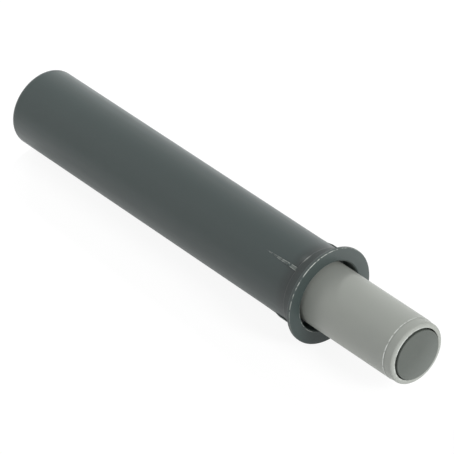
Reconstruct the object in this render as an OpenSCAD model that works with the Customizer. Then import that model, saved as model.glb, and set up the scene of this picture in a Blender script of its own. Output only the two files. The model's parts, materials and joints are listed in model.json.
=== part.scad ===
// Push-in soft-close damper for a cabinet door.
// A flanged sleeve is pressed into a drilled hole in the carcass edge. Inside it slides
// a small oil cylinder, the plunger, whose rod stands on the sleeve's floor.
// Everything is turned about one axis: modules draw it along +Z with the flange seat at
// zero and the tip upwards, and place() lays it down with the tip towards -Y.

/* [Sleeve] */
// Outer diameter of the sleeve's body
body_d = 9.9; // [9.5:0.1:12]
// Length of the body behind the flange seat
body_l = 51.75; // [48:0.05:60]
// Wall between the body and its bore
body_wall = 0.9; // [0.8:0.05:1.1]
// Thickness of the closed rear end
floor_t = 1.4; // [1:0.1:2]
// Rounding of the rear end's edge
rear_round = 0.6; // [0.3:0.05:1]
// Diameter of the shallow gate recess in the rear end
gate_d = 2.6; // [2:0.1:4]
// Depth of the gate recess
gate_depth = 0.3; // [0.1:0.05:0.5]

/* [Flange and collar] */
// How far the flange stands out from the body
flange_w = 1.15; // [0.9:0.05:2]
// Thickness of the flange
flange_t = 0.45; // [0.4:0.05:1]
// Rounding of the flange's rim
flange_round = 0.12; // [0.05:0.01:0.18]
// How far the collar stands out from the body
collar_h = 0.2; // [0.1:0.02:0.4]
// Length of the collar behind the flange
collar_l = 1.75; // [1:0.05:2.5]
// Lead-in chamfer at the collar's rear edge
collar_lead = 0.1; // [0.05:0.01:0.15]
// How far the mouth recess is wider than the bore, per side
mouth_step = 0.35; // [0.2:0.05:0.5]
// Depth of the mouth recess
mouth_l = 2.2; // [1:0.1:4]
// Chamfer of the mouth's front edge
mouth_lead = 0.15; // [0.05:0.01:0.2]

/* [Crush ribs] */
// Number of ribs round the body
rib_count = 4; // [3:1:8]
// Angle of the first rib
rib_turn = 38; // [0:1:90]
// How far the collar's radius stands above the ribs
rib_drop = 0.02; // [0.01:0.01:0.06]
// Width of a rib at the collar
rib_w = 0.46; // [0.4:0.02:1]
// Width of a rib at its tail
rib_tail_w = 0.12; // [0.08:0.02:0.3]
// Length of a rib behind the collar
rib_l = 5.4; // [4:0.1:8]
// Full-height part of a rib
rib_crest_l = 1.8; // [1:0.1:2.2]
// Steep ramp behind the crest
rib_ramp_l = 0.8; // [0.5:0.1:1.2]
// Height of the tail where the ramp begins
rib_tail_h = 0.04; // [0.02:0.01:0.06]

/* [Plunger] */
// Travel of the plunger
stroke = 13.2; // [11:0.1:14.5]
// How far the tip stands out when it is fully pressed
pressed_proud = 1.35; // [1:0.05:3]
// Wall of the plunger's barrel
barrel_wall = 1.05; // [0.9:0.05:1.2]
// Draft of the barrel, per side, from its rear to its tip
barrel_draft = 0.04; // [0.01:0.01:0.06]
// Rounding of the tip's outer edge
tip_round = 0.3; // [0.2:0.05:0.35]
// Height of the step where the mould's tip insert meets the barrel
witness_h = 0.05; // [0.02:0.01:0.06]
// Length of that step's slope
witness_l = 0.05; // [0.03:0.01:0.1]
// Distance of the step from the tip
witness_back = 1.3; // [1:0.05:1.8]
// Draft of the tip insert in front of the step, per side
insert_draft = 0.03; // [0.01:0.01:0.05]

/* [Tip plug] */
// Width of the shoulder that the plug's head seats on
plug_seat_w = 0.36; // [0.3:0.02:0.4]
// Thickness of the plug's head
plug_head_t = 1.2; // [0.8:0.1:2]
// How far the plug stands proud of the tip
plug_proud = 0.14; // [0.04:0.02:0.2]
// Rounding of the plug's face edge
plug_round = 0.06; // [0.04:0.02:0.12]
// Length of the plug's stem in the barrel
plug_stem_l = 3.2; // [2.6:0.1:5]
// Cord diameter of the plug's O-ring
oring_d = 0.9; // [0.7:0.05:1]

/* [Rod and piston] */
// Diameter of the rod
rod_d = 2; // [1.8:0.05:2.2]
// Diameter of the rod's nose, which carries the piston
nose_d = 1.5; // [1.3:0.05:1.6]
// How far the nose stands out of the spring seat
nose_out = 0.5; // [0.3:0.05:1]
// Chamfer of the rod's ends
rod_lead = 0.15; // [0.1:0.01:0.2]
// Height of the rod boss on the sleeve's floor
boss_h = 2; // [1.5:0.1:3]
// Wall of the rod boss round the rod
boss_wall = 1.2; // [0.8:0.1:1.5]
// Depth of the rod's socket in the boss
socket_l = 2.2; // [1.8:0.1:2.6]
// Length of the piston
piston_l = 3.4; // [3:0.1:5]
// Diameter of each oil hole in the piston
oil_hole_d = 0.6; // [0.4:0.05:0.7]
// Number of oil holes
oil_hole_count = 4; // [3:1:6]
// Width of the piston ring
ring_w = 1; // [0.8:0.05:1.4]
// Radial thickness of the piston ring
ring_t = 0.45; // [0.35:0.05:0.5]
// Cut through the piston ring
ring_cut = 0.3; // [0.2:0.05:0.6]
// Thickness of the valve disc
valve_t = 0.35; // [0.25:0.05:0.5]
// Lift of the valve disc
valve_lift = 0.25; // [0.15:0.05:0.4]
// Thickness of the spring seat
seat_t = 0.5; // [0.4:0.05:0.8]

/* [Return spring] */
// Wire diameter
wire_d = 0.45; // [0.35:0.05:0.5]
// Turns, with one closed turn at each end
spring_turns = 13; // [10:1:14]
// Length left over the solid length at full travel
spring_spare = 0.75; // [0.5:0.05:1.5]

/* [Rear seal stack] */
// Step from the barrel's bore to the wider bore of the stack
stack_step = 0.15; // [0.1:0.01:0.2]
// Thickness of the stop washer
washer_t = 0.6; // [0.4:0.05:1]
// Length of the rod seal
seal_l = 2.4; // [2:0.1:3]
// Thickness of the seal's lip
lip_t = 0.4; // [0.3:0.05:0.5]
// Length of the rod guide
guide_l = 5.5; // [4:0.1:6]
// Length of the end cap's spigot
cap_spigot_l = 2.5; // [1.5:0.1:3]
// Thickness of the end cap's flange
cap_flange_t = 1; // [0.8:0.1:1.5]

/* [Clearances] */
// Plunger in the sleeve's bore, per side
slide_gap = 0.1; // [0.06:0.01:0.15]
// End cap in the sleeve's bore, per side
cap_gap = 0.06; // [0.04:0.01:0.09]
// Pieces that are pressed together, per side
press_gap = 0.02; // [0.01:0.01:0.03]
// Rod in its guide and seal, per side
rod_gap = 0.03; // [0.02:0.01:0.05]
// Rod in washer, foam and cap, per side
rod_free_gap = 0.18; // [0.1:0.02:0.3]
// Piston in the barrel, per side
piston_gap = 0.06; // [0.05:0.01:0.1]
// Piston ring in the barrel, per side
ring_gap = 0.03; // [0.02:0.01:0.04]
// Spring in the barrel, per side
spring_gap = 0.3; // [0.2:0.05:0.4]
// Visible gap round the plug's head
plug_gap = 0.15; // [0.08:0.01:0.18]
// Axial gap behind the piston at the out stop
stop_gap = 0.08; // [0.05:0.01:0.2]
// Axial gap to the rod boss at full travel
floor_gap = 0.45; // [0.3:0.05:1]

/* [Hidden] */
$fn = 96;
// Overlap of a cutting shape past the face that it cuts
cut = 0.1;

sleeve_grey = "#525958";
plunger_grey = "#989b97";
plug_grey = "#737973";
natural_white = "#e4e2d8";
bright_steel = "#b9bcbd";
seal_black = "#2a2b2b";
foam_grey = "#4a4d52";

// Radii of the sleeve, from its body inwards
body_r = body_d / 2;
bore_r = body_r - body_wall;
mouth_r = bore_r + mouth_step;
collar_r = body_r + collar_h;
flange_r = body_r + flange_w;
rib_r = collar_r - rib_drop;

// Radii of the plunger and of what runs in it
barrel_r = bore_r - slide_gap;
tip_r = barrel_r - barrel_draft;
barrel_bore_r = barrel_r - barrel_wall;
stack_r = barrel_bore_r + stack_step;
stack_fit_r = stack_r - press_gap;
plug_seat_r = barrel_bore_r + plug_seat_w;
plug_head_r = plug_seat_r - plug_gap;
plug_stem_r = barrel_bore_r - press_gap;
insert_r = tip_r - witness_h;
rim_r = insert_r - insert_draft;
tip_rim_w = rim_r - plug_seat_r;
oring_mid_r = barrel_bore_r - press_gap - oring_d / 2;
oring_floor_r = oring_mid_r - oring_d / 2 - press_gap;
piston_r = barrel_bore_r - piston_gap;
ring_r = barrel_bore_r - ring_gap;
ring_inner_r = ring_r - ring_t;
ring_floor_r = ring_inner_r - press_gap;
rod_r = rod_d / 2;
nose_r = nose_d / 2;
nose_hole_r = nose_r + press_gap;
rod_guide_r = rod_r + rod_gap;
rod_free_r = rod_r + rod_free_gap;
oil_pitch_r = (nose_hole_r + ring_floor_r) / 2;
valve_r = oil_pitch_r + oil_hole_d / 2 + ring_t / 2;
spring_r = barrel_bore_r - spring_gap - wire_d / 2;
seat_r = spring_r + wire_d / 2 + spring_gap / 2;
cap_r = bore_r - cap_gap;
boss_r = rod_r + press_gap + boss_wall;

// Places along the axis, from the tip back to the sleeve's floor
tip_z = flange_t + pressed_proud + stroke;
plug_face_z = tip_z + plug_proud;
plug_seat_z = plug_face_z - plug_head_t;
plug_end_z = plug_seat_z - plug_stem_l;
spring_l = stroke + spring_turns * wire_d + spring_spare;
seat_z = plug_end_z - spring_l;
nose_z = seat_z + nose_out;
valve_z = seat_z - seat_t - valve_lift - valve_t;
piston_back_z = valve_z - piston_l;
shoulder_z = piston_back_z - stop_gap;
foam_z = shoulder_z - washer_t;
rear_z = -body_l;
floor_z = rear_z + floor_t;
boss_z = floor_z + boss_h;
socket_z = boss_z - socket_l;
cap_back_z = boss_z + floor_gap + stroke;
barrel_back_z = cap_back_z + cap_flange_t;
guide_back_z = barrel_back_z + cap_spigot_l;
seal_back_z = guide_back_z + guide_l;
foam_back_z = seal_back_z + seal_l;

// Lays a piece drawn along +Z down, with its tip towards -Y
module place() {
    rotate([90, 0, 0]) children();
}

// Rectangle of a turned section, from radius r0 to r1 and from z0 to z1
module band(r0, r1, z0, z1) {
    translate([r0, z0]) square([r1 - r0, z1 - z0]);
}

// What a rounding of radius r takes off an outer corner at the origin
module corner(r) {
    difference() {
        translate([-r, -r]) square(r + cut);
        translate([-r, -r]) circle(r);
    }
}

// Rounds the front outer corner of a turned section at radius r and height z
module round_front(r, z, radius) {
    translate([r, z]) corner(radius);
}

// Rounds the rear outer corner of a turned section
module round_rear(r, z, radius) {
    translate([r, z]) mirror([0, 1]) corner(radius);
}

// Chamfer of a hole's edge, cut from radius r at the face z; side is 1 at a front face
// and -1 at a rear face
module hole_lead(r, z, lead, side) {
    polygon([[r - cut, z - side * (lead + cut)], [r + lead + cut, z + side * cut],
             [r - cut, z + side * cut]]);
}

// Chamfer of an outer edge at radius r and the face z
module edge_lead(r, z, lead, side) {
    polygon([[r + cut, z - side * (lead + cut)], [r + cut, z + side * cut],
             [r - lead - cut, z + side * cut]]);
}

module ring(r0, r1, z0, z1) {
    rotate_extrude() band(r0, r1, z0, z1);
}

// Turned section of the sleeve: closed tube, rod boss, collar, flange and mouth recess
module sleeve_section() {
    difference() {
        union() {
            band(0, body_r, rear_z, flange_t);
            band(0, collar_r, -collar_l, flange_t);
            band(0, flange_r, 0, flange_t);
        }
        round_rear(body_r, rear_z, rear_round);
        edge_lead(collar_r, -collar_l, collar_lead, -1);
        round_front(flange_r, flange_t, flange_round);
        round_rear(flange_r, 0, flange_round);
        difference() {
            band(0, bore_r, floor_z, flange_t + cut);
            band(0, boss_r, floor_z, boss_z);
        }
        band(0, mouth_r, flange_t - mouth_l, flange_t + cut);
        hole_lead(mouth_r, flange_t, mouth_lead, 1);
        band(0, rod_r + press_gap, socket_z, boss_z + cut);
        band(0, gate_d / 2, rear_z - cut, rear_z + gate_depth);
    }
}

// One crush rib along +X: a wedge in plan, cut to its height by a turned envelope
module crush_rib() {
    front_z = -collar_l;
    crest_z = front_z - rib_crest_l;
    ramp_z = crest_z - rib_ramp_l;
    tail_z = front_z - rib_l;
    inside_r = body_r - body_wall / 2;
    intersection() {
        rotate_extrude()
            polygon([[inside_r, tail_z], [body_r, tail_z], [body_r + rib_tail_h, ramp_z],
                     [rib_r, crest_z], [rib_r, front_z], [inside_r, front_z]]);
        rotate([0, 90, 0])
            linear_extrude(collar_r)
                polygon([[-front_z, rib_w / 2], [-tail_z, rib_tail_w / 2],
                         [-tail_z, -rib_tail_w / 2], [-front_z, -rib_w / 2]]);
    }
}

module housing_sleeve() {
    color(sleeve_grey) place() {
        rotate_extrude() sleeve_section();
        for (i = [0 : rib_count - 1])
            rotate([0, 0, rib_turn + i * 360 / rib_count]) crush_rib();
    }
}

// Barrel: drafted outside, with a fine step near its rounded tip, and a stepped bore for
// the plug at the front and for the seal stack at the rear
module plunger_barrel() {
    round_r = min(tip_round, tip_rim_w * 0.9);
    witness_z = tip_z - witness_back;
    color(plunger_grey) place() {
        rotate_extrude() difference() {
            union() {
                polygon([[0, barrel_back_z], [barrel_r, barrel_back_z], [tip_r, witness_z],
                         [insert_r, witness_z + witness_l], [rim_r, tip_z - round_r],
                         [rim_r - round_r, tip_z], [0, tip_z]]);
                translate([rim_r - round_r, tip_z - round_r]) circle(round_r);
            }
            band(0, barrel_bore_r, barrel_back_z - cut, tip_z + cut);
            band(0, stack_r, barrel_back_z - cut, shoulder_z);
            band(0, plug_seat_r, plug_seat_z, tip_z + cut);
        }
    }
}

// Plug: head in the tip's recess, stem with a groove for its O-ring
module tip_plug() {
    groove_z = (plug_seat_z + plug_end_z) / 2;
    groove_w = oring_d + 2 * press_gap;
    color(plug_grey) place() {
        rotate_extrude() difference() {
            union() {
                band(0, plug_head_r, plug_seat_z, plug_face_z);
                band(0, plug_stem_r, plug_end_z, plug_seat_z);
            }
            round_front(plug_head_r, plug_face_z, plug_round);
            edge_lead(plug_stem_r, plug_end_z, rod_lead, -1);
            band(oring_floor_r, plug_stem_r + cut, groove_z - groove_w / 2, groove_z + groove_w / 2);
        }
    }
}

module plug_seal() {
    color(seal_black) place()
        rotate_extrude() translate([oring_mid_r, (plug_seat_z + plug_end_z) / 2]) circle(oring_d / 2);
}

// Coil spring with one closed turn at each end
wire_sides = 8;
turn_steps = 20;
coil_steps = spring_turns * turn_steps;
closed_pitch = wire_d * 1.04;
coil_l = spring_l - wire_d - 2 * press_gap;
open_pitch = (coil_l - 2 * closed_pitch) / (spring_turns - 2);

// Height of the wire's centre after a number of turns
function coil_rise(turns) =
    turns < 1 ? turns * closed_pitch :
    turns > spring_turns - 1 ? coil_l - (spring_turns - turns) * closed_pitch :
    closed_pitch + (turns - 1) * open_pitch;

// One ring of points round the wire at a step along the coil
function wire_ring(step) =
    let (angle = 360 * step / turn_steps,
         rise = seat_z + press_gap + wire_d / 2 + coil_rise(step / turn_steps))
    [for (side = [0 : wire_sides - 1])
        let (around = 360 * side / wire_sides,
             reach = spring_r + wire_d / 2 * cos(around))
        [reach * cos(angle), reach * sin(angle), rise + wire_d / 2 * sin(around)]];

module return_spring() {
    points = [for (step = [0 : coil_steps]) each wire_ring(step)];
    first_end = [for (side = [0 : wire_sides - 1]) side];
    last_end = [for (side = [wire_sides - 1 : -1 : 0]) coil_steps * wire_sides + side];
    skin = [for (step = [0 : coil_steps - 1], side = [0 : wire_sides - 1])
        let (next = (side + 1) % wire_sides, low = step * wire_sides, high = low + wire_sides)
        [low + side, high + side, high + next, low + next]];
    color(bright_steel) place()
        polyhedron(points, concat([first_end], skin, [last_end]), convexity = 10);
}

// Pierced washer on the rod's nose that carries the spring
module spring_seat() {
    color(bright_steel) place() difference() {
        ring(nose_hole_r, seat_r, seat_z - seat_t, seat_z);
        oil_holes(seat_z - seat_t, seat_z);
    }
}

// Pattern of axial oil holes between two heights
module oil_holes(z0, z1) {
    for (i = [0 : oil_hole_count - 1])
        rotate([0, 0, i * 360 / oil_hole_count])
            translate([oil_pitch_r, 0, z0 - cut])
                cylinder(d = oil_hole_d, h = z1 - z0 + 2 * cut, $fn = 32);
}

module valve_disc() {
    color(natural_white) place()
        ring(nose_hole_r + rod_gap, valve_r, valve_z, valve_z + valve_t);
}

module piston_head() {
    ring_z = valve_z - piston_l / 2;
    groove_w = ring_w + 2 * press_gap;
    color(natural_white) place() difference() {
        rotate_extrude() difference() {
            band(nose_hole_r, piston_r, piston_back_z, valve_z);
            edge_lead(piston_r, valve_z, rod_lead, 1);
            edge_lead(piston_r, piston_back_z, rod_lead, -1);
            band(ring_floor_r, piston_r + cut, ring_z - groove_w / 2, ring_z + groove_w / 2);
        }
        oil_holes(piston_back_z, valve_z);
    }
}

module piston_ring() {
    ring_z = valve_z - piston_l / 2;
    color(seal_black) place() difference() {
        ring(ring_inner_r, ring_r, ring_z - ring_w / 2, ring_z + ring_w / 2);
        translate([0, -ring_cut / 2, ring_z - ring_w])
            cube([ring_r + cut, ring_cut, 2 * ring_w]);
    }
}

// Stepped rod: its foot stands in the boss, its nose carries piston, valve and seat
module piston_rod() {
    color(bright_steel) place() rotate_extrude() difference() {
        union() {
            band(0, rod_r, socket_z, piston_back_z);
            band(0, nose_r, socket_z, nose_z);
        }
        edge_lead(rod_r, socket_z, rod_lead, -1);
        edge_lead(nose_r, nose_z, rod_lead, 1);
    }
}

module stop_washer() {
    color(bright_steel) place() ring(rod_free_r, stack_fit_r, foam_z, shoulder_z);
}

module foam_sleeve() {
    color(foam_grey) place() ring(rod_free_r, stack_fit_r, foam_back_z, foam_z);
}

// Lip seal: a ring with a groove at its oil side that leaves an inner and an outer lip
module rod_seal() {
    groove_l = seal_l / 2;
    color(seal_black) place() rotate_extrude() difference() {
        band(rod_guide_r, stack_fit_r, seal_back_z, foam_back_z);
        band(rod_guide_r + lip_t, stack_fit_r - lip_t, foam_back_z - groove_l, foam_back_z + cut);
    }
}

module rod_guide() {
    color(natural_white) place() rotate_extrude() difference() {
        band(rod_guide_r, stack_fit_r, guide_back_z, seal_back_z);
        edge_lead(stack_fit_r, seal_back_z, rod_lead, 1);
        hole_lead(rod_guide_r, guide_back_z, rod_lead, -1);
    }
}

// Cap: spigot in the barrel, flange over its rear end that runs in the sleeve's bore
module end_cap() {
    color(natural_white) place() rotate_extrude() difference() {
        union() {
            band(rod_free_r, stack_fit_r, barrel_back_z, guide_back_z);
            band(rod_free_r, cap_r, cap_back_z, barrel_back_z);
        }
        edge_lead(cap_r, cap_back_z, rod_lead, -1);
        hole_lead(rod_free_r, cap_back_z, rod_lead, -1);
    }
}

housing_sleeve();
plunger_barrel();
tip_plug();
plug_seal();
return_spring();
spring_seat();
valve_disc();
piston_head();
piston_ring();
piston_rod();
stop_washer();
foam_sleeve();
rod_seal();
rod_guide();
end_cap();
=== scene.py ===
# %% [markdown]
# Push-in soft-close damper for a cabinet door, dressed for a studio picture.
# The construction comes from a imported CAD model: every piece has its real size and place
# there. This lesson gives the pieces that show a finer skin and a finish, sets up a camera
# and soft light, and leaves every size as it was. We start by loading that frame.

# %% Load the frame
import json
import math

import bmesh
import bpy
from mathutils import Matrix, Vector


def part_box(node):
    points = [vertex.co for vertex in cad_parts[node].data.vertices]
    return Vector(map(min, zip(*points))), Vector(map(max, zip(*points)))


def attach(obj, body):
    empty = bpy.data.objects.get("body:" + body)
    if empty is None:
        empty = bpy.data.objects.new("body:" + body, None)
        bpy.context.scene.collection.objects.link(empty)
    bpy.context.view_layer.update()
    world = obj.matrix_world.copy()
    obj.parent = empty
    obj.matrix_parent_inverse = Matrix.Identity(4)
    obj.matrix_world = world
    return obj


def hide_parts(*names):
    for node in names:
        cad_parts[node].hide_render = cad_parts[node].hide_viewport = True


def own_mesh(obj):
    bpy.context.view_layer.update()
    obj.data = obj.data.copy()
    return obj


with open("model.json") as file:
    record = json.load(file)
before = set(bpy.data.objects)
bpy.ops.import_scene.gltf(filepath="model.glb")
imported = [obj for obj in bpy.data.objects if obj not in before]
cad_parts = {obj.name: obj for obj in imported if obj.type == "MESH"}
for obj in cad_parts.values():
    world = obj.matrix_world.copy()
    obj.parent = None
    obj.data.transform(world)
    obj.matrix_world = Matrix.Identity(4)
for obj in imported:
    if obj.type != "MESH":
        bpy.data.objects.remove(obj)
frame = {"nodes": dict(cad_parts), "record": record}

scene = bpy.context.scene
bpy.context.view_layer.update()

# %% [markdown]
# The damper is turned about the Y axis: its tip points to -Y and its closed end to +Y.
# The origin lies in the rear face of the flange. Every size that the skin has to follow is
# read from the boxes of the CAD nodes and from the mounts of the record, so a change of the
# model carries through. We think in millimetres here, because the part is small enough to
# lie in a hand, and bring a mesh to metres when it is finished.

# %% Read the sizes that the skin follows
MM = 0.001


def box_mm(node):
    """Lowest and highest corner of a CAD node, in millimetres."""
    low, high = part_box(node)
    return Vector(low) / MM, Vector(high) / MM


mounts = {mount["name"]: mount for mount in frame["record"]["mounts"]}
sleeve_low, sleeve_high = box_mm("housing_sleeve")
body_radius = mounts["body"]["dims"]["r_mm"]
collar_radius = mounts["collar"]["dims"]["r_mm"]
flange_radius = sleeve_high.x
flange_front = sleeve_low.y
rear_end = sleeve_high.y
print("sleeve", round(2 * body_radius, 2), "x", round(rear_end, 2), "mm, flange",
      round(2 * flange_radius, 2), "mm")

# %% [markdown]
# The camera stands where the photograph was taken from: in front of the damper, to its
# left and above it, with a long lens. A Blender camera looks along its own -Z axis, so we
# build its three axes from the two view angles and put them in a matrix. A tracking
# constraint would aim it too, but a matrix also fixes where the aim lands in the picture:
# the centre of the flange's front has its pixel there, and the rest follows.

# %% Set the camera at the photograph's angle
PICTURE_SIDE = 454
FOCAL_PIXELS = 4129
FLANGE_PIXEL = (329.7, 296.3)
FLANGE_DISTANCE = 467.2
VIEW_AZIMUTH = math.radians(-40.45)
VIEW_ELEVATION = math.radians(34.55)
SENSOR_WIDTH = 36
NEAREST = 0.01
FARTHEST = 10

backward = Vector((math.sin(VIEW_AZIMUTH) * math.cos(VIEW_ELEVATION),
                   -math.cos(VIEW_AZIMUTH) * math.cos(VIEW_ELEVATION),
                   math.sin(VIEW_ELEVATION)))
rightward = Vector((math.cos(VIEW_AZIMUTH), math.sin(VIEW_AZIMUTH), 0))
upward = backward.cross(rightward)
to_the_side = (FLANGE_PIXEL[0] - PICTURE_SIDE / 2) / FOCAL_PIXELS * FLANGE_DISTANCE
below_centre = (FLANGE_PIXEL[1] - PICTURE_SIDE / 2) / FOCAL_PIXELS * FLANGE_DISTANCE
eye = (Vector((0, flange_front, 0)) + backward * FLANGE_DISTANCE
       - rightward * to_the_side + upward * below_centre)

camera_data = bpy.data.cameras.new("photo_camera")
camera_data.sensor_width = SENSOR_WIDTH
camera_data.lens = FOCAL_PIXELS / PICTURE_SIDE * SENSOR_WIDTH
camera_data.clip_start = NEAREST
camera_data.clip_end = FARTHEST
camera = bpy.data.objects.new("photo_camera", camera_data)
turned = Matrix((rightward, upward, backward)).transposed().to_4x4()
camera.matrix_world = Matrix.Translation(eye * MM) @ turned
scene.collection.objects.link(camera)
scene.camera = camera
print("lens", round(camera_data.lens), "mm, eye at", [round(c) for c in eye], "mm")

# %% [markdown]
# Materials and lights are node trees. Two small helpers keep the recipes short: one turns
# a colour written as a hex value, the way a paint program shows it, into the linear values
# that Blender mixes with, and one adds a node with its settings and links in a single call.

# %% Helpers for node trees


def linear(hex_colour):
    """Linear RGBA of an sRGB hex colour."""
    channels = [int(hex_colour[i:i + 2], 16) / 255 for i in (1, 3, 5)]
    return [c / 12.92 if c <= 0.04045 else ((c + 0.055) / 1.055) ** 2.4 for c in channels] + [1]


def add(tree, kind, inputs=None, **settings):
    """Adds a node: settings are its own properties, inputs are values or sockets to link."""
    made = tree.nodes.new("ShaderNode" + kind)
    for name, value in settings.items():
        setattr(made, name, value)
    for name, value in (inputs or {}).items():
        if isinstance(value, bpy.types.NodeSocket):
            tree.links.new(value, made.inputs[name])
        else:
            made.inputs[name].default_value = value
    return made


def new_material(name):
    """A new material without nodes, and its tree."""
    made = bpy.data.materials.new(name)
    made.use_nodes = True
    made.node_tree.nodes.clear()
    return made, made.node_tree


print("mid grey in linear light:", [round(c, 3) for c in linear("#808080")[:3]])

# %% [markdown]
# A studio for small parts is a white tent: light comes from all round, and softboxes give
# it a direction. The world is the tent. The camera and mirror-like reflections see it as
# plain white, so the background is white and edges pick up a pale sheen, while the light
# that reaches the part stays at a plain level.

# %% Light the tent
TENT_LIGHT = 0.24

world = bpy.data.worlds.new("white_tent")
world.use_nodes = True
tent = world.node_tree
tent.nodes.clear()
rays = add(tent, "LightPath").outputs
mirrored = add(tent, "Math", {0: rays["Is Glossy Ray"], 1: rays["Is Transmission Ray"]},
               operation="MAXIMUM")
looked_at = add(tent, "Math", {0: rays["Is Camera Ray"], 1: mirrored.outputs[0]}, operation="MAXIMUM")
soft = add(tent, "Background", {"Color": (1, 1, 1, 1), "Strength": TENT_LIGHT})
white = add(tent, "Background", {"Color": (1, 1, 1, 1), "Strength": 1.0})
cloth = add(tent, "MixShader", {0: looked_at.outputs[0], 1: soft.outputs[0], 2: white.outputs[0]})
add(tent, "OutputWorld", {"Surface": cloth.outputs[0]})
scene.world = world
scene.view_settings.view_transform = "Standard"
print("tent at", TENT_LIGHT)

# %% [markdown]
# Four softboxes shape the part. The key is small and stands close behind it, on the right
# and above: the flange throws a crisp curved shadow on the plunger with it. A large one in
# front finds the faces and rims that look along -Y. Another, low behind on the right, runs
# along the upper edges, and a weak one behind on the left lifts the rear of the sleeve.
# They wear polarising foil, as photographers use against glare: they light the plastic but
# don't mirror in it, and only the white tent does. In Blender that is a lamp that glossy
# rays don't see. A softbox is an area light there, and its size sets how soft it is.

# %% Softboxes


def softbox(name, direction, distance, size, watts):
    """A square area light that faces the origin. Its distance and size are in millimetres."""
    light = bpy.data.lights.new(name, "AREA")
    light.shape = "SQUARE"
    light.size = size * MM
    light.energy = watts
    lamp = bpy.data.objects.new(name, light)
    lamp.location = Vector(direction).normalized() * distance * MM
    lamp.rotation_euler = Vector(direction).to_track_quat("Z", "Y").to_euler()
    lamp.visible_glossy = False
    scene.collection.objects.link(lamp)
    print(name, "at", [round(c / MM) for c in lamp.location], "mm")


softbox("key_softbox", (0.44, 0.70, 0.57), distance=130, size=11, watts=0.062)
softbox("front_softbox", (0, -0.86, 0.51), distance=250, size=80, watts=0.475)
softbox("right_softbox", (0.5, 0.86, 0.14), distance=250, size=80, watts=0.32)
softbox("left_softbox", (-0.5, 0.73, 0.5), distance=120, size=60, watts=0.024)

# %% [markdown]
# The floor is a light table: a plain white sheet that glows a little from below, as used
# for small parts, so that their undersides don't go black. The damper lies on it, so the
# sheet is tilted a little: it touches the flange's rim in front and the sleeve's end at the
# rear. The camera sees more of the glow than the part does, which keeps the ground white
# and lets the shadow show only softly.

# %% Lay the floor
FLOOR_SIDE = 1500
TABLE_GLOW = 0.5
SEEN_GLOW = 0.9
SEEN_SHEET = 0.14

rim_rest = Vector((0, flange_front / 2, -flange_radius))
rear_rest = Vector((0, rear_end, -body_radius))
lift = rear_rest - rim_rest
tilt = math.atan2(lift.z, lift.y)

floor_mesh = bmesh.new()
bmesh.ops.create_grid(floor_mesh, x_segments=1, y_segments=1, size=FLOOR_SIDE / 2 * MM)
lay_down = Matrix.Translation(rim_rest * MM) @ Matrix.Rotation(tilt, 4, "X")
bmesh.ops.transform(floor_mesh, matrix=lay_down, verts=floor_mesh.verts)
floor_data = bpy.data.meshes.new("white_floor")
floor_mesh.to_mesh(floor_data)
floor_mesh.free()
floor = bpy.data.objects.new("white_floor", floor_data)
scene.collection.objects.link(floor)

paper, tree = new_material("white_paper")
rays = add(tree, "LightPath").outputs
level = add(tree, "MapRange", {"Value": rays["Is Camera Ray"],
                               "To Min": TABLE_GLOW, "To Max": SEEN_GLOW})
tone = add(tree, "MapRange", {"Value": rays["Is Camera Ray"],
                              "To Min": 1 - TABLE_GLOW, "To Max": SEEN_SHEET})
sheet = add(tree, "BsdfDiffuse", {"Color": tone.outputs[0]})
glow = add(tree, "Emission", {"Color": (1, 1, 1, 1), "Strength": level.outputs[0]})
top = add(tree, "AddShader", {0: sheet.outputs[0], 1: glow.outputs[0]})
under = add(tree, "BsdfTransparent")
side = add(tree, "NewGeometry").outputs["Backfacing"]
both = add(tree, "MixShader", {0: side, 1: top.outputs[0], 2: under.outputs[0]})
add(tree, "OutputMaterial", {"Surface": both.outputs[0]})
floor_data.materials.append(paper)
print("floor tilted by", round(math.degrees(tilt), 2), "degrees")

# %% [markdown]
# Three plastics show. The sleeve is a dark grey glass-filled nylon, the plunger a light
# grey acetal and the plug in its tip a mid grey nylon. All came out of spark-eroded moulds,
# so their skin is satin with a very fine grain. It is drawn coarser than it is, or it
# would not show at all. The melt leaves faint clouds and, along the flow, faint streaks in
# the gloss. Where an edge is rubbed the plastic goes pale in broken lines, and the same pale
# colour paints highlights on other edges. Painted shade darkens corners, gaps and recesses,
# and painted light makes some faces and edges paler. All three follow attributes that we
# paint on the meshes. Sizes and heights of the patterns are in millimetres.

# %% Moulded plastics
GRAIN = 0.16
GRAIN_HEIGHT = 0.01
WAVE = 3.5
WAVE_HEIGHT = 0.02
STREAK = 0.7
STREAK_LENGTH = 12
GLOSS_CHANGE = 0.03
NICK = 0.5
NICK_LOW = 0.38
NICK_HIGH = 0.52
PAINTED_SHADE_COLOUR = "#1c2020"


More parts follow.
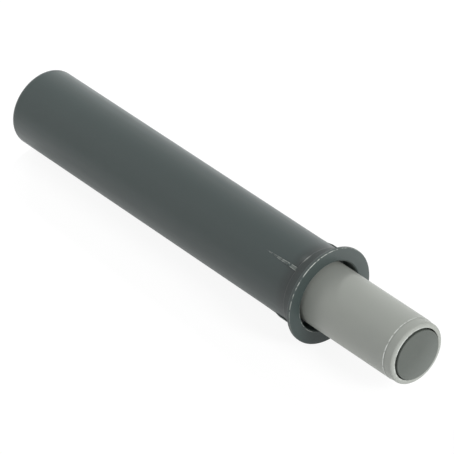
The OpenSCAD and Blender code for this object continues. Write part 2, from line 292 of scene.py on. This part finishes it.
def moulded_plastic(name, colour, cloud_colour, cloud, pale_wear_and_light, roughness, ior):
    """Satin moulded plastic. The colours are hex values and cloud is a size in millimetres."""
    made, tree = new_material(name)
    place = add(tree, "TexCoord").outputs["Object"]
    # Clouds of the melt: two close colours, and never one flat tone
    clouds = add(tree, "TexNoise", {"Vector": place, "Scale": 1 / (cloud * MM), "Detail": 3.0})
    body = add(tree, "Mix", {0: clouds.outputs["Fac"], 6: linear(colour), 7: linear(cloud_colour)},
               data_type="RGBA")
    # Rubbed edges and painted highlights: paler, and broken up by nicks
    wear_and_highlight_mask = add(tree, "Attribute", attribute_name="wear").outputs["Fac"]
    nicks = add(tree, "TexNoise", {"Vector": place, "Scale": 1 / (NICK * MM), "Detail": 2.0})
    broken = add(tree, "MapRange", {"Value": nicks.outputs["Fac"],
                                    "From Min": NICK_LOW, "From Max": NICK_HIGH})
    broken_wear_and_highlight = add(tree, "Math", {0: wear_and_highlight_mask, 1: broken.outputs[0]}, operation="MULTIPLY", use_clamp=True)
    with_wear_and_highlight = add(tree, "Mix", {0: broken_wear_and_highlight.outputs[0], 6: body.outputs[2], 7: linear(pale_wear_and_light)},
                data_type="RGBA")
    # Painted shade in corners, gaps and recesses: darker
    grime = add(tree, "Attribute", attribute_name="grime").outputs["Fac"]
    with_painted_shade = add(tree, "Mix", {0: grime, 6: with_wear_and_highlight.outputs[2], 7: linear(PAINTED_SHADE_COLOUR)}, data_type="RGBA")
    # Painted light: some faces and edges paler
    haze = add(tree, "Attribute", attribute_name="haze").outputs["Fac"]
    with_painted_light = add(tree, "Mix", {0: haze, 6: with_painted_shade.outputs[2], 7: linear(pale_wear_and_light)}, data_type="RGBA")
    # Flow streaks along the axis: gloss that changes a little
    drawn_out = add(tree, "Mapping", {"Vector": place, "Scale": (1, STREAK / STREAK_LENGTH, 1)})
    streaks = add(tree, "TexNoise", {"Vector": drawn_out.outputs[0], "Scale": 1 / (STREAK * MM),
                                     "Detail": 2.0})
    gloss = add(tree, "MapRange", {"Value": streaks.outputs["Fac"], "From Min": 0.3, "From Max": 0.7,
                                   "To Min": roughness - GLOSS_CHANGE,
                                   "To Max": roughness + GLOSS_CHANGE})
    # Shrinkage waves under the mould's fine grain
    waves = add(tree, "TexNoise", {"Vector": place, "Scale": 1 / (WAVE * MM), "Detail": 1.0})
    wavy = add(tree, "Bump", {"Height": waves.outputs["Fac"], "Strength": 1.0,
                              "Distance": WAVE_HEIGHT * MM})
    grain = add(tree, "TexNoise", {"Vector": place, "Scale": 1 / (GRAIN * MM), "Detail": 2.0})
    grained = add(tree, "Bump", {"Height": grain.outputs["Fac"], "Strength": 0.35,
                                 "Distance": GRAIN_HEIGHT * MM, "Normal": wavy.outputs[0]})
    skin = add(tree, "BsdfPrincipled", {"Base Color": with_painted_light.outputs[2], "Roughness": gloss.outputs[0],
                                        "IOR": ior, "Normal": grained.outputs[0]})
    add(tree, "OutputMaterial", {"Surface": skin.outputs[0]})
    return made


sleeve_nylon = moulded_plastic("moulded_dark_nylon", "#35403f", "#394443", 9, "#c2c7c1", 0.36, 1.53)
plunger_acetal = moulded_plastic("moulded_light_acetal", "#9b9f9a", "#a3a69f", 6, "#d6dad6", 0.4, 1.48)
plug_nylon = moulded_plastic("moulded_mid_nylon", "#4f5550", "#565b56", 5, "#868b87", 0.45, 1.53)
print("plastics:", sleeve_nylon.name, plunger_acetal.name, plug_nylon.name)

# %% [markdown]
# Every outer piece is round about one axis. In Blender that is a spin: draw half of the
# section as a flat face, round its corners with a vertex bevel, keep only the outline and
# turn it once round the axis. A cylinder with bevelled edges would do as well, but rounding
# a flat corner is far cleaner than bevelling a finished ring. Each mesh also gets three
# attributes, which are numbers kept on its points: the Attribute nodes above read them.

# %% Helper: spin a rounded section
SPIN_STEPS = 192
ROUND_SEGMENTS = 6
CLOSE = 1e-4
PAINT_LAYERS = ("wear", "grime", "haze")


def spin_section(corners):
    """A bmesh in millimetres, spun about Y from the corners of a half section. A corner is
    its radius and y, and a third number where it is rounded."""
    mesh = bmesh.new()
    for layer in PAINT_LAYERS:
        mesh.verts.layers.float.new(layer)
    points = [mesh.verts.new((corner[0], corner[1], 0)) for corner in corners]
    mesh.faces.new(points)
    for point, corner in zip(points, corners):
        for rounding in corner[2:]:
            bmesh.ops.bevel(mesh, geom=[point], offset=rounding, offset_type="OFFSET",
                            affect="VERTICES", segments=ROUND_SEGMENTS, profile=0.5, material=-1)
    bmesh.ops.delete(mesh, geom=mesh.faces[:], context="FACES_ONLY")
    on_axis = [e for e in mesh.edges if max(abs(v.co.x) for v in e.verts) < CLOSE]
    bmesh.ops.delete(mesh, geom=on_axis, context="EDGES")
    bmesh.ops.spin(mesh, geom=mesh.verts[:] + mesh.edges[:], cent=(0, 0, 0), axis=(0, 1, 0),
                   angle=math.tau, steps=SPIN_STEPS, use_merge=True)
    bmesh.ops.remove_doubles(mesh, verts=mesh.verts[:], dist=CLOSE)
    bmesh.ops.recalc_face_normals(mesh, faces=mesh.faces[:])
    return mesh


print("a turn has", SPIN_STEPS, "steps and a rounding", ROUND_SEGMENTS, "segments")

# %% [markdown]
# Wear with painted highlights, painted shade and painted light are laid on in strokes, by
# distance from a circle on the piece: full on it, nothing at reach. Wear is never even all
# round, and light and shade fall on one side, so most strokes only cover an arc. Where two
# strokes of one kind meet, the stronger one holds.

# %% Helper: paint a stroke


def paint_stroke(mesh, layer, circle, reach, amount, arc=None):
    """Paints an attribute round a circle, given by its radius and y, that fades out at reach.
    An arc is the angle of its middle, from +X to +Z, and the spread over which it fades, in
    degrees."""
    radius, y = circle
    values = mesh.verts.layers.float[layer]
    for vert in mesh.verts:
        away = math.hypot(math.hypot(vert.co.x, vert.co.z) - radius, vert.co.y - y)
        share = max(0, 1 - away / reach)
        if arc:
            middle, spread = arc
            turn = math.degrees(math.atan2(vert.co.z, vert.co.x)) - middle
            share *= max(0, 1 - abs((turn + 180) % 360 - 180) / spread)
        vert[values] = max(vert[values], amount * share)


print("paint layers:", ", ".join(PAINT_LAYERS))

# %% [markdown]
# A finished mesh becomes an object, with smooth faces and a material. The Weighted Normal
# modifier lets the large faces lead the shading, so the small roundings don't spread shade
# over them. Last we hang it on the body that it rides on and hide the CAD nodes that it
# stands for.

# %% Helper: finish a piece


def finish_piece(name, mesh, body, material, slot, *nodes):
    """Brings a bmesh to metres as an object that rides on a body and stands for CAD nodes."""
    bmesh.ops.scale(mesh, vec=(MM, MM, MM), verts=mesh.verts[:])
    for face in mesh.faces:
        face.smooth = True
    data = bpy.data.meshes.new(name)
    mesh.to_mesh(data)
    mesh.free()
    data.materials.append(material)
    piece = bpy.data.objects.new(name, data)
    scene.collection.objects.link(piece)
    piece.modifiers.new("even_shading", "WEIGHTED_NORMAL")
    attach(piece, body)
    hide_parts(*nodes)
    print(name, len(data.polygons), "faces")
    return piece


# %% [markdown]
# The sleeve is one moulding: a long cup with a rounded closed end, a thin flange at its
# mouth and a low collar behind it. Inside, a boss on the floor holds the rod. The section
# runs from the gate mark in the rear end, over the outside to the mouth and back along the
# bore. The small roundings matter most, because they catch the light as thin lines. A few
# points lie on a straight line between two corners and don't change the shape. They are
# for the paint, which is kept on points and fades from one to the next: a stroke needs a
# point near it to end on, or it would run along the whole sleeve.

# %% Sleeve: the cup
GATE_RADIUS = 1.3
GATE_DEPTH = 0.3
GATE_ROUND = 0.08
NUB_RADIUS = 0.45
NUB_HEIGHT = 0.18
REAR_ROUND = 0.6
COLLAR_LENGTH = 1.75
COLLAR_LEAD = 0.1
COLLAR_ROUND = 0.06
ROOT_ROUND = 0.04
GLINT_REACH = 0.2
SHADE_REACH = 1.6
RIM_ROUND = 0.12
BODY_WALL = 0.9
BORE_ROUND = 0.1
MOUTH_STEP = 0.35
MOUTH_DEPTH = 2.2
MOUTH_LEAD = 0.15
MOUTH_ROUND = 0.05
FLOOR_THICKNESS = 1.4
BOSS_HEIGHT = 2
BOSS_WALL = 1.2
PRESS_GAP = 0.02

rod_high = box_mm("piston_rod")[1]
bore_radius = body_radius - BODY_WALL
mouth_radius = bore_radius + MOUTH_STEP
mouth_back = flange_front + MOUTH_DEPTH
gate_floor = rear_end - GATE_DEPTH
cup_floor = rear_end - FLOOR_THICKNESS
boss_top = cup_floor - BOSS_HEIGHT
socket_radius = rod_high.x + PRESS_GAP
boss_radius = socket_radius + BOSS_WALL

mouth_edge = (mouth_radius + MOUTH_LEAD, flange_front)
mouth_wall = (mouth_radius, flange_front + MOUTH_LEAD)
sleeve_corners = [
    (0, gate_floor + NUB_HEIGHT), (NUB_RADIUS, gate_floor + NUB_HEIGHT, GATE_ROUND),
    (NUB_RADIUS, gate_floor), (GATE_RADIUS, gate_floor), (GATE_RADIUS, rear_end, GATE_ROUND),
    (body_radius, rear_end, REAR_ROUND),
    (body_radius, COLLAR_LENGTH + SHADE_REACH), (body_radius, COLLAR_LENGTH + SHADE_REACH / 2),
    (body_radius, COLLAR_LENGTH, ROOT_ROUND),
    (collar_radius - COLLAR_LEAD, COLLAR_LENGTH, ROOT_ROUND),
    (collar_radius, COLLAR_LENGTH - COLLAR_LEAD, COLLAR_ROUND),
    (collar_radius, COLLAR_LENGTH - COLLAR_LEAD - GLINT_REACH), (collar_radius, 0, COLLAR_ROUND),
    (flange_radius, 0, RIM_ROUND), (flange_radius, flange_front, RIM_ROUND),
    (*mouth_edge, MOUTH_ROUND), (*mouth_wall, MOUTH_ROUND),
    (mouth_radius, mouth_back), (bore_radius, mouth_back, BORE_ROUND), (bore_radius, cup_floor),
    (boss_radius, cup_floor), (boss_radius, boss_top), (socket_radius, boss_top),
    (socket_radius, rod_high.y), (0, rod_high.y)]
sleeve_mesh = spin_section(sleeve_corners)
print("cup section of", len(sleeve_corners), "corners")

# %% [markdown]
# The sleeve gets thin strokes of paint. The flange's rim is rubbed pale, with a painted
# highlight along it, and the lower edge of the mouth has a painted highlight. Painted light
# makes the upper right of the flange's front and a part of the mouth's wall paler, and a
# short painted glint lies on the lead of the collar. Painted shade darkens the sleeve behind
# the collar, the collar's lead and the mouth's wall and lower edge. Texture Paint would do
# all this by hand, but a stroke that is given by its circle is moved or thinned by one
# number. Painted light and shade are shares of their colour. Wear may be more than 1, to
# make up for the nicks that break it.

# %% Sleeve: rubbed edges, painted highlights, painted light and painted shade
rim = (flange_radius, flange_front)
lead_middle = (collar_radius - COLLAR_LEAD / 2, COLLAR_LENGTH - COLLAR_LEAD / 2)
collar_root = (body_radius, COLLAR_LENGTH)
# Each stroke: layer, circle, reach in mm, amount and, unless it goes all round, its arc
sleeve_strokes = [
    # The flange's rim: rubbed pale, with a painted highlight along it
    ("wear", rim, 0.7 * RIM_ROUND, 3.0, (115, 95)),
    # A painted highlight on the lower edge of the mouth
    ("wear", mouth_edge, 0.05, 2.0, (215, 50)),
    # Painted light on the upper right of the flange's front
    ("haze", rim, 3, 0.07, (40, 150)),
    # A painted glint on the lead of the collar
    ("haze", lead_middle, GLINT_REACH, 1.0, (109, 9)),
    # Painted light on the upper right of the mouth's wall
    ("haze", mouth_wall, 0.1, 0.8, (65, 45)),
    # Painted shade in the mouth: on its right wall, and at its lower edge under the plunger
    ("grime", mouth_wall, 0.1, 0.8, (5, 45)),
    ("grime", mouth_edge, 0.1, 0.7, (275, 40)),
    # Painted shade on the collar's lead
    ("grime", lead_middle, COLLAR_LEAD, 0.8),
    # Painted shade on the sleeve behind the collar
    ("grime", collar_root, SHADE_REACH, 0.6)]
for painted in sleeve_strokes:
    paint_stroke(sleeve_mesh, *painted)
print("painted", len(sleeve_strokes), "strokes on the sleeve")

# %% [markdown]
# Four slim crush ribs run from the collar along the sleeve and bite into the drilled hole.
# A rib is low but it shows, because its two crest edges are scuffed pale, less towards its
# tail, and painted shade darkens its foot. It starts as its side view, one flat face that is
# extruded to a unit width; then the width is tapered to the tail and the long edges of the
# crest are bevelled, so that the scuff has a rounded edge to sit on.

# %% Sleeve: the crush ribs
RIB_COUNT = 4
RIB_TURN = 38
RIB_WIDTH = 0.46
RIB_TAIL_WIDTH = 0.12
RIB_LENGTH = 5.4
RIB_CREST = 1.8
RIB_RAMP = 0.8
RIB_DROP = 0.02
RIB_TAIL_HEIGHT = 0.04
RIB_ROOT = 0.3
RIB_EDGE = 0.06
RIB_EDGE_SEGMENTS = 4
EDGE_SCUFF = 1.4
CREST_SCUFF = 0.25
FOOT_SHADE = 0.8
FOOT_SPREAD = 9

rib_top = collar_radius - RIB_DROP
rib_start = COLLAR_LENGTH - COLLAR_LEAD
crest_end = COLLAR_LENGTH + RIB_CREST
ramp_end = crest_end + RIB_RAMP
tail_end = COLLAR_LENGTH + RIB_LENGTH
rib_side = [(body_radius - RIB_ROOT, rib_start), (rib_top, rib_start), (rib_top, crest_end),
            (body_radius + RIB_TAIL_HEIGHT, ramp_end), (body_radius, tail_end),
            (body_radius - RIB_ROOT, tail_end)]
wear = sleeve_mesh.verts.layers.float["wear"]


def rib_width(y):
    """Width of a rib, from its collar end to its tail."""
    return RIB_WIDTH + (RIB_TAIL_WIDTH - RIB_WIDTH) * (y - rib_start) / (tail_end - rib_start)


for rib in range(RIB_COUNT):
    turn = RIB_TURN + rib * 360 / RIB_COUNT
    # Painted shade at the foot of the rib
    paint_stroke(sleeve_mesh, "grime", collar_root, SHADE_REACH, FOOT_SHADE, (turn, FOOT_SPREAD))
    near = [sleeve_mesh.verts.new((radius, y, -0.5)) for radius, y in rib_side]
    flank = sleeve_mesh.faces.new(near)
    grown = bmesh.ops.extrude_face_region(sleeve_mesh, geom=[flank])["geom"]
    far = [v for v in grown if isinstance(v, bmesh.types.BMVert)]
    bmesh.ops.translate(sleeve_mesh, vec=(0, 0, 1), verts=far)
    solid = near + far
    for vert in solid:
        vert.co.z *= rib_width(vert.co.y)
    crest = [e for e in sleeve_mesh.edges if e.verts[0] in solid and e.verts[1] in solid
             and min(v.co.x for v in e.verts) > body_radius - CLOSE
             and abs(e.verts[0].co.y - e.verts[1].co.y) > RIB_EDGE]
    edges = bmesh.ops.bevel(sleeve_mesh, geom=crest, offset=RIB_EDGE, offset_type="OFFSET",
                            affect="EDGES", segments=RIB_EDGE_SEGMENTS, profile=0.5,
                            material=-1)["verts"]
    for vert in edges:
        from_flank = abs(abs(vert.co.z) - rib_width(vert.co.y) / 2)
        on_edge = max(0, 1 - abs(2 * from_flank / RIB_EDGE - 1))
        narrowed = rib_width(vert.co.y) / RIB_WIDTH
        vert[wear] = narrowed * (EDGE_SCUFF * on_edge + CREST_SCUFF * from_flank / RIB_EDGE)
    whole = set(edges) | {v for v in solid if v.is_valid}
    around = Matrix.Rotation(math.radians(-turn), 3, "Y")
    bmesh.ops.rotate(sleeve_mesh, verts=list(whole), cent=(0, 0, 0), matrix=around)
bmesh.ops.recalc_face_normals(sleeve_mesh, faces=sleeve_mesh.faces[:])
finish_piece("sleeve_moulding", sleeve_mesh, "housing", sleeve_nylon, "sleeve_plastic",
             "housing_sleeve")

# %% [markdown]
# The plunger is the oil cylinder itself, a plain drafted tube. Near its tip runs a fine
# step, where the insert that forms the tip meets the rest of the mould, and its rim is
# rounded. The step is only a twentieth of a millimetre high, but its edge carries a
# painted highlight and the corner in front of it painted shade, so it reads as a thin
# double line. A point on each side of the step keeps that paint from running along the
# tube. The edge of the recess for the plug is rubbed pale and carries a painted highlight.

# %% Plunger
BARREL_DRAFT = 0.04
BARREL_WALL = 1.05
BARREL_ROUND = 0.1
STEP_HEIGHT = 0.05
STEP_LENGTH = 0.05
STEP_BACK = 1.3
STEP_ROUND = 0.04
CORNER_ROUND = 0.02
STEP_HIGHLIGHT_REACH = 0.15
INSERT_DRAFT = 0.03
TIP_ROUND = 0.3
RECESS_ROUND = 0.05
PLUG_SEAT_WIDTH = 0.36
PLUG_HEAD = 1.2

barrel_low, barrel_high = box_mm("plunger_barrel")
plug_low, plug_high = box_mm("tip_plug")
washer_low, washer_high = box_mm("stop_washer")
tip_front = barrel_low.y
barrel_radius = barrel_high.x
tip_radius = barrel_radius - BARREL_DRAFT
insert_radius = tip_radius - STEP_HEIGHT
rim_radius = insert_radius - INSERT_DRAFT
barrel_bore = barrel_radius - BARREL_WALL
stack_bore = washer_high.x + PRESS_GAP
recess_radius = barrel_bore + PLUG_SEAT_WIDTH
plug_seat = plug_low.y + PLUG_HEAD
step = tip_front + STEP_BACK
insert_slope = INSERT_DRAFT / (STEP_BACK - STEP_LENGTH)

step_corner = (insert_radius, step - STEP_LENGTH)
barrel_corners = [
    (stack_bore, barrel_high.y), (barrel_radius, barrel_high.y, BARREL_ROUND),
    (tip_radius, step + STEP_HIGHLIGHT_REACH), (tip_radius, step, STEP_ROUND), (*step_corner, CORNER_ROUND),
    (insert_radius - STEP_HIGHLIGHT_REACH * insert_slope, step - STEP_LENGTH - STEP_HIGHLIGHT_REACH),
    (rim_radius, tip_front, TIP_ROUND), (recess_radius, tip_front, RECESS_ROUND),
    (recess_radius, plug_seat), (barrel_bore, plug_seat), (barrel_bore, washer_low.y),
    (stack_bore, washer_low.y)]
barrel_mesh = spin_section(barrel_corners)
barrel_strokes = [
    # A painted highlight on the edge of the step
    ("wear", (tip_radius, step + 0.4 * STEP_HIGHLIGHT_REACH), 0.6 * STEP_HIGHLIGHT_REACH, 2.4, (165, 125)),
    # Painted shade in the corner in front of the step
    ("grime", step_corner, 0.08, 0.4, (165, 125)),
    # The edge of the recess: rubbed pale, with a painted highlight
    ("wear", (recess_radius, tip_front), 0.15, 1.6, (150, 110))]
for painted in barrel_strokes:
    paint_stroke(barrel_mesh, *painted)
finish_piece("plunger_tube", barrel_mesh, "plunger", plunger_acetal, "plunger_plastic",
             "plunger_barrel")

# %% [markdown]
# The plug closes the tip. Its head sits in a recess with a narrow gap round it and stands
# a little proud, which is why the gap shows dark on the near side and hides behind the
# head on the far side. It was pressed in a tenth of a millimetre off its centre, so the gap
# isn't even: we shift the head and leave the stem, which has a groove for the seal that
# keeps the oil in. Painted shade darkens the gap, and painted light makes the face paler
# along one side.

# %% Plug
PLUG_ROUND = 0.06
PLUG_SHIFT = (0.07, 0, -0.09)
STEM_ROUND = 0.15

seal_low, seal_high = box_mm("plug_seal")
plug_face = plug_low.y
plug_radius = plug_high.x
stem_radius = barrel_bore - PRESS_GAP
groove_floor = seal_high.x - (seal_high.y - seal_low.y) - PRESS_GAP
plug_corners = [
    (0, plug_face), (plug_radius, plug_face, PLUG_ROUND), (plug_radius, plug_seat),
    (stem_radius, plug_seat),
    (stem_radius, seal_low.y - PRESS_GAP), (groove_floor, seal_low.y - PRESS_GAP),
    (groove_floor, seal_high.y + PRESS_GAP), (stem_radius, seal_high.y + PRESS_GAP),
    (stem_radius, plug_high.y, STEM_ROUND), (0, plug_high.y)]
plug_mesh = spin_section(plug_corners)
head = [v for v in plug_mesh.verts if v.co.y < plug_seat - CLOSE]
bmesh.ops.translate(plug_mesh, vec=PLUG_SHIFT, verts=head)
# Painted shade in the gap round the head
paint_stroke(plug_mesh, "grime", (plug_radius, plug_seat), reach=1.1, amount=0.85)
# Painted light: the face paler along one side
paint_stroke(plug_mesh, "haze", (plug_radius, plug_face), reach=0.3, amount=0.42, arc=(313, 110))
finish_piece("plug_disc", plug_mesh, "plunger", plug_nylon, "plug_plastic", "tip_plug")

# %% [markdown]
# Steel works inside: a ground rod, pressed washers and a spring of drawn wire. All three
# are bare and bright, and the fine lines of grinding or drawing stretch their reflections.
# The lines are a noise that is squeezed along one axis. They are drawn coarser than they
# are, so that they show.

# %% Steels
LINE_DEPTH = 0.005
LINE_GLOSS = 0.08
LINE_COLOUR = "#d2d4d5"


def bright_steel(name, colour, roughness, line_scale):
    """Bare steel with fine lines. line_scale squeezes the noise along each axis, per mm."""
    made, tree = new_material(name)
    place = add(tree, "TexCoord").outputs["Object"]
    drawn = add(tree, "Mapping", {"Vector": place, "Scale": [s / MM for s in line_scale]})
    lines = add(tree, "TexNoise", {"Vector": drawn.outputs[0], "Scale": 1.0, "Detail": 3.0})
    tone = add(tree, "Mix", {0: lines.outputs["Fac"], 6: linear(colour), 7: linear(LINE_COLOUR)},
               data_type="RGBA")
    gloss = add(tree, "MapRange", {"Value": lines.outputs["Fac"], "To Min": roughness - LINE_GLOSS,
                                   "To Max": roughness + LINE_GLOSS})
    scored = add(tree, "Bump", {"Height": lines.outputs["Fac"], "Strength": 0.2,
                                "Distance": LINE_DEPTH * MM})
    skin = add(tree, "BsdfPrincipled", {"Base Color": tone.outputs[2], "Roughness": gloss.outputs[0],
                                        "Metallic": 1.0, "Normal": scored.outputs[0]})
    add(tree, "OutputMaterial", {"Surface": skin.outputs[0]})
    return made


ground_steel = bright_steel("ground_rod_steel", "#b4b7b9", 0.25, (1, 12, 1))
pressed_steel = bright_steel("pressed_washer_steel", "#a9adb0", 0.38, (6, 6, 6))
spring_wire = bright_steel("drawn_spring_wire", "#9a9ea1", 0.3, (3, 12, 3))
print("steels:", ground_steel.name, pressed_steel.name, spring_wire.name)

# %% [markdown]
# A coil spring pushes the plunger out again. A coil is a spin as well, with a step along
# the axis at every turn: a small disc is spun with a slow advance for the closed turn at
# each end and a faster one between. The spring shortens when the plunger is pressed, and
# the piece gets a mesh of its own.

# %% Return spring
WIRE = 0.45
TURNS = 13
TURN_STEPS = 28
CLOSED_PITCH = 0.47
WIRE_SIDES = 12

spring_low, spring_high = box_mm("return_spring")
spring_length = spring_high.y - spring_low.y
open_pitch = (spring_length - WIRE - 2 * CLOSED_PITCH) / (TURNS - 2)

spring_mesh = bmesh.new()
bmesh.ops.create_circle(spring_mesh, segments=WIRE_SIDES, radius=WIRE / 2, cap_ends=True)
first_end = Vector((spring_high.x - WIRE / 2, spring_high.y - WIRE / 2, 0))
bmesh.ops.translate(spring_mesh, vec=first_end, verts=spring_mesh.verts[:])
wire_end = spring_mesh.faces[:]
for turns, pitch in ((1, CLOSED_PITCH), (TURNS - 2, open_pitch), (1, CLOSED_PITCH)):
    wound = bmesh.ops.spin(spring_mesh, geom=wire_end, cent=(0, 0, 0), axis=(0, -1, 0),
                           dvec=(0, -pitch / TURN_STEPS, 0), angle=math.tau * turns,
                           steps=TURN_STEPS * turns)
    wire_end = [g for g in wound["geom_last"] if isinstance(g, bmesh.types.BMFace)]
bmesh.ops.recalc_face_normals(spring_mesh, faces=spring_mesh.faces[:])
spring = finish_piece("spring_coil", spring_mesh, "housing", spring_wire, "spring_steel",
                      "return_spring")
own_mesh(spring)

# %% [markdown]
# The seals are moulded nitrile rubber and the sleeve round the rod is closed-cell foam,
# which takes up the oil that the rod pushes away. Both are matt and nearly black. Rubber
# has a faint grey bloom and foam shows its cells, which a Voronoi pattern draws as dimples:
# it divides a surface into cells just as bubbles do. The rubber's grain and the foam's cells
# are drawn somewhat coarser than they are.

# %% Rubber and foam
RUBBER_GRAIN = 0.12
FOAM_CELL = 0.3
BLOOM = 2


def matt_rubber(name, colour, bloom_colour, roughness, cell, depth):
    """Matt rubber or foam. cell is the size of its dimples and depth how deep they are, in mm."""
    made, tree = new_material(name)
    place = add(tree, "TexCoord").outputs["Object"]
    # Bloom: a thin grey veil that comes and goes
    veil = add(tree, "TexNoise", {"Vector": place, "Scale": 1 / (BLOOM * MM), "Detail": 4.0})
    tone = add(tree, "Mix", {0: veil.outputs["Fac"], 6: linear(colour), 7: linear(bloom_colour)},
               data_type="RGBA")
    # Dimples: the grain of the mould, or cut cells
    cells = add(tree, "TexVoronoi", {"Vector": place, "Scale": 1 / (cell * MM)})
    dimpled = add(tree, "Bump", {"Height": cells.outputs["Distance"], "Strength": 0.6,
                                 "Distance": depth * MM})
    skin = add(tree, "BsdfPrincipled", {"Base Color": tone.outputs[2], "Roughness": roughness,
                                        "IOR": 1.52, "Normal": dimpled.outputs[0]})
    add(tree, "OutputMaterial", {"Surface": skin.outputs[0]})
    return made


seal_rubber = matt_rubber("moulded_nitrile_rubber", "#262727", "#333434", 0.6, RUBBER_GRAIN, 0.01)
rod_foam = matt_rubber("cut_closed_cell_foam", "#43464b", "#52555a", 0.9, FOAM_CELL, 0.1)
print("rubbers:", seal_rubber.name, rod_foam.name)

# %% [markdown]
# The small pieces of the damper's inside never meet the light, unless somebody takes it
# apart. Their CAD shapes are right as they are, so they stay and only get a finish. The
# piston, its valve disc, the rod's guide and the cap are moulded from natural, uncoloured
# acetal, and the split ring from a black filled plastic: the recipe for moulded plastic
# serves both.

# %% Finishes of the inside
natural_acetal = moulded_plastic("moulded_natural_acetal", "#dcd9ce", "#e6e4da", 4, "#f2f1ea",
                                 0.4, 1.48)
ring_plastic = moulded_plastic("moulded_filled_ring_plastic", "#2c2d2e", "#343536", 3, "#5c5e60",
                               0.45, 1.5)
inside = {"piston_rod": ground_steel, "spring_seat": pressed_steel, "stop_washer": pressed_steel,
          "valve_disc": natural_acetal, "piston_head": natural_acetal, "rod_guide": natural_acetal,
          "end_cap": natural_acetal, "piston_ring": ring_plastic, "plug_seal": seal_rubber,
          "rod_seal": seal_rubber, "foam_sleeve": rod_foam}
for node, finish in inside.items():
    frame["nodes"][node].material_slots[0].material = finish
print("finished", len(inside), "inner pieces")
